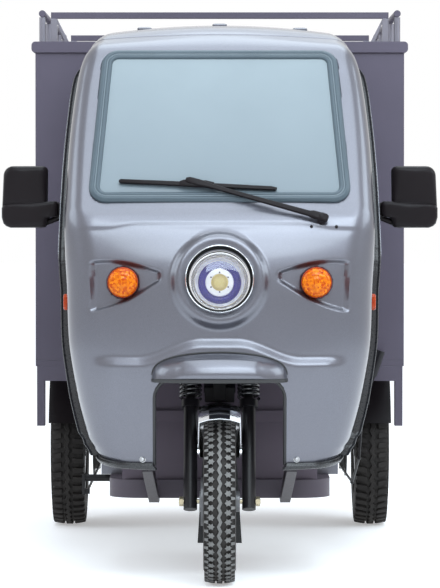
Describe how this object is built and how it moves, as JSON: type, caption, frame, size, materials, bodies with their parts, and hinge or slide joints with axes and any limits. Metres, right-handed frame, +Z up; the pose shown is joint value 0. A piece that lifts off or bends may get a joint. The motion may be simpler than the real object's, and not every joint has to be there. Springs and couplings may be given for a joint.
{
  "type": "electric cargo tricycle",
  "caption": "Open-sided electric cargo tricycle with a steered front fork, a pressed front panel with flat windscreen, and a closed cargo box with rear doors and a roof rack.",
  "frame": {"origin": "on the ground under the middle of the bounding box", "axes": "-Y forward, +X to the vehicle's left, +Z up"},
  "size_m": [1.292, 2.8999, 1.715],
  "materials": {
    "body_paint": "metallic gloss",
    "box_paint": "satin",
    "frame_paint": "satin",
    "black_rubber": "matte",
    "screen_rubber": "satin",
    "screen_glass": "gloss",
    "lamp_glass": "gloss",
    "amber_lens": "gloss",
    "red_lens": "gloss",
    "black_plastic": "satin",
    "mirror": "mirror",
    "chrome": "polished",
    "dark_steel": "satin",
    "zinc": "brushed",
    "seat_vinyl": "grained",
    "tyre": "matte",
    "rim_paint": "satin",
    "battery_case": "matte"
  },
  "bodies": {
    "chassis": {"chassis_rails": "frame_paint", "crossmembers": "frame_paint", "steering_head": "frame_paint", "floor_pan": "frame_paint", "bulkhead": "frame_paint", "fairing_struts": "frame_paint", "front_fairing": "body_paint", "fairing_trim": "black_rubber", "fender_hood": "body_paint", "cab_roof": "body_paint", "cab_rear_wall": "body_paint", "door_posts": "body_paint", "windscreen_gasket": "screen_rubber", "windscreen_glass": "screen_glass", "wiper": "black_plastic", "headlamp_bezel": "chrome", "headlamp_lens": "lamp_glass", "amber_lamps": "amber_lens", "mirror_housings": "black_plastic", "mirror_glasses": "mirror", "dashboard": "black_plastic", "seat_box": "body_paint", "battery_pack": "battery_case", "seat_cushion": "seat_vinyl", "seat_backrest": "seat_vinyl", "brake_controls": "frame_paint", "bed_frame": "box_paint", "box_floor": "box_paint", "box_front_wall": "box_paint", "box_side_walls": "box_paint", "box_roof": "box_paint", "rack_posts": "zinc", "rack_rails": "zinc", "rear_mudguards": "black_plastic", "rear_axle": "dark_steel", "drive_motor": "dark_steel", "leaf_springs": "dark_steel", "tail_lamps": "red_lens", "rear_bumper": "frame_paint", "door_hinges": "zinc"},
    "steering": {"fork_yokes": "frame_paint", "fork_legs": "frame_paint", "fork_springs": "dark_steel", "front_mudguard": "chrome", "front_mud_flap": "black_rubber", "front_axle": "zinc", "handlebar": "zinc", "handlebar_grips": "black_rubber"},
    "front_wheel": {"front_tyre": "tyre", "front_rim": "rim_paint"},
    "rear_wheel_left": {"rear_tyre_left": "tyre", "rear_rim_left": "rim_paint"},
    "rear_wheel_right": {"rear_tyre_right": "tyre", "rear_rim_right": "rim_paint"},
    "cargo_door_left": {"box_door_left": "box_paint"},
    "cargo_door_right": {"box_door_right": "box_paint", "door_lock_bar": "zinc"}
  },
  "joints": [
    {"name": "steering_turn", "type": "hinge", "parent": "chassis", "child": "steering", "pos_m": [0, -1.16943, 0.238], "axis": [0, 0.342, 0.9397], "range_deg": [-35, 35]},
    {"name": "front_wheel_roll", "type": "hinge", "parent": "steering", "child": "front_wheel", "pos_m": [0, -1.212, 0.238], "axis": [1, 0, 0], "continuous": true},
    {"name": "rear_left_roll", "type": "hinge", "parent": "chassis", "child": "rear_wheel_left", "pos_m": [0.517, 0.788, 0.27], "axis": [1, 0, 0], "continuous": true},
    {"name": "rear_right_roll", "type": "hinge", "parent": "chassis", "child": "rear_wheel_right", "pos_m": [-0.517, 0.788, 0.27], "axis": [1, 0, 0], "continuous": true},
    {"name": "cargo_door_left_swing", "type": "hinge", "parent": "chassis", "child": "cargo_door_left", "pos_m": [0.597, 1.356, 1.1], "axis": [0, 0, -1], "range_deg": [0, 180]},
    {"name": "cargo_door_right_swing", "type": "hinge", "parent": "chassis", "child": "cargo_door_right", "pos_m": [-0.597, 1.356, 1.1], "axis": [0, 0, 1], "range_deg": [0, 180]}
  ]
}
